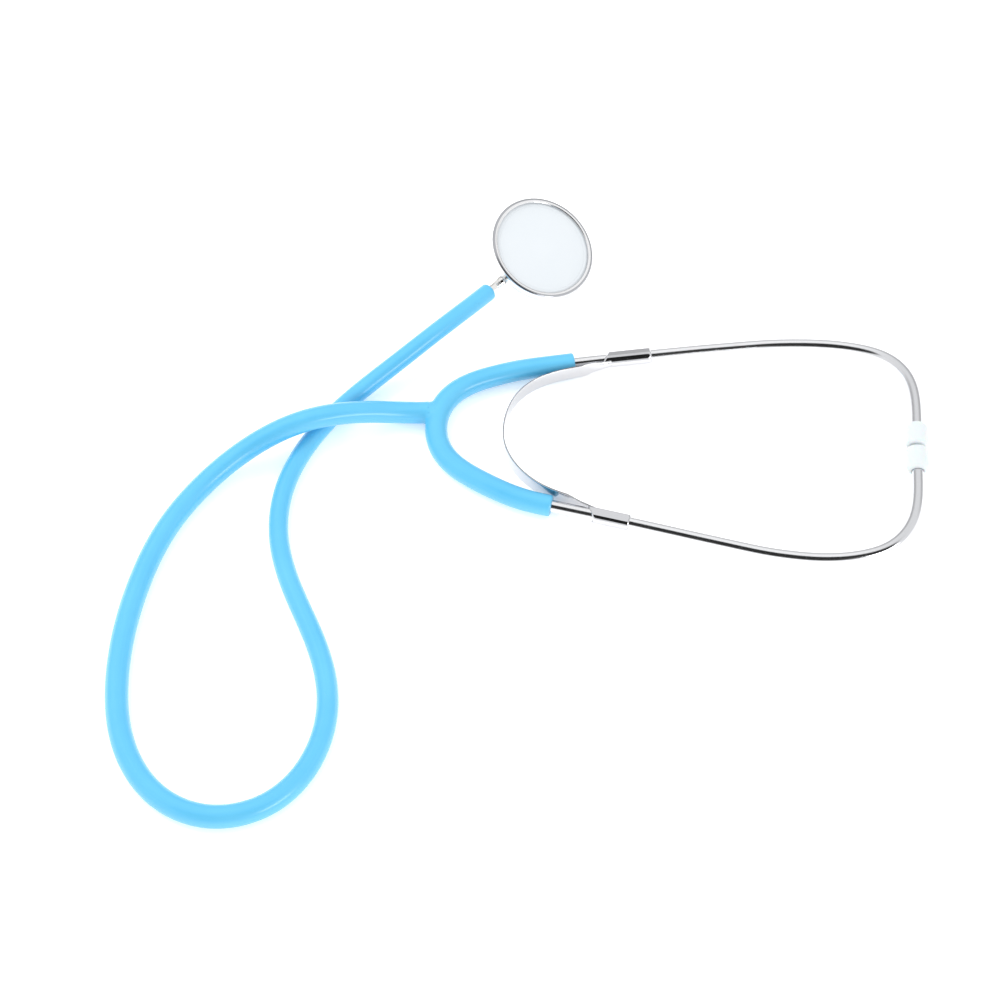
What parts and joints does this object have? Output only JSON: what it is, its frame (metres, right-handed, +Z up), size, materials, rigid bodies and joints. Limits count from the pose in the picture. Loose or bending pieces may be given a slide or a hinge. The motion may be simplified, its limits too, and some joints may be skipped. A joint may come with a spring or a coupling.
{
  "type": "stethoscope",
  "caption": "Single-head stethoscope lying on a table, with a free hose laid in a loop, a Y-shaped headset hose, a leaf spring, bent ear tubes and soft ear tips.",
  "frame": {"origin": "on the table, under the middle of the object without its free hose", "axes": "+X along the headset towards the ear tips, +Y to the wearer's left, +Z up from the table"},
  "size_m": [0.3271, 0.2997, 0.0231],
  "materials": {
    "hose": "soft glossy light blue PVC",
    "spring_steel": "bright rolled spring strip",
    "chrome_tube": "polished chrome",
    "ear_tip": "soft white vinyl",
    "head_metal": "satin turned",
    "stem_metal": "bright",
    "diaphragm_film": "pale resin film",
    "ring_metal": "bright turned"
  },
  "bodies": {
    "tubing": {"main_hose": "hose", "y_junction": "hose", "left_branch": "hose", "right_branch": "hose", "leaf_spring": "spring_steel"},
    "left_arm": {"left_ear_tube": "chrome_tube", "left_spring_sleeve": "spring_steel"},
    "right_arm": {"right_ear_tube": "chrome_tube", "right_spring_sleeve": "spring_steel"},
    "left_tip": {"left_ear_tip": "ear_tip"},
    "right_tip": {"right_ear_tip": "ear_tip"},
    "chest_piece": {"head_body": "head_metal", "stem": "stem_metal", "diaphragm": "diaphragm_film"},
    "ring": {"retaining_ring": "ring_metal"}
  },
  "joints": [
    {"name": "left_arm_flex", "type": "hinge", "parent": "tubing", "child": "left_arm", "pos_m": [-0.0534, -0.0061, 0.005], "axis": [0, 0, 1], "range_deg": [0, 28], "stiffness_Nm_per_rad": 1, "springref_deg": -8.59, "deforming": ["left_branch", "leaf_spring"]},
    {"name": "right_arm_flex", "type": "hinge", "parent": "tubing", "child": "right_arm", "pos_m": [-0.0534, -0.0521, 0.005], "axis": [0, 0, 1], "range_deg": [-28, 0], "stiffness_Nm_per_rad": 1, "springref_deg": 8.59, "deforming": ["right_branch", "leaf_spring"]},
    {"name": "left_tip_turn", "type": "hinge", "parent": "left_arm", "child": "left_tip", "pos_m": [0.1016, -0.0238, 0.0066], "axis": [-0.0254, -0.9995, 0.0203], "continuous": true},
    {"name": "right_tip_turn", "type": "hinge", "parent": "right_arm", "child": "right_tip", "pos_m": [0.1016, -0.0344, 0.0066], "axis": [-0.0254, 0.9995, 0.0203], "continuous": true},
    {"name": "chest_piece_turn", "type": "hinge", "parent": "tubing", "child": "chest_piece", "pos_m": [-0.0796, 0.0378, 0.011], "axis": [0.628, 0.7686, -0.1219], "continuous": true},
    {"name": "ring_unscrew", "type": "hinge", "parent": "chest_piece", "child": "ring", "pos_m": [-0.05988, 0.06193, 0.00717], "axis": [0.3759, -0.1625, 0.9123], "continuous": true}
  ],
  "couplings": [
    {"joint": "right_arm_flex", "follows": "left_arm_flex", "ratio": -1}
  ]
}
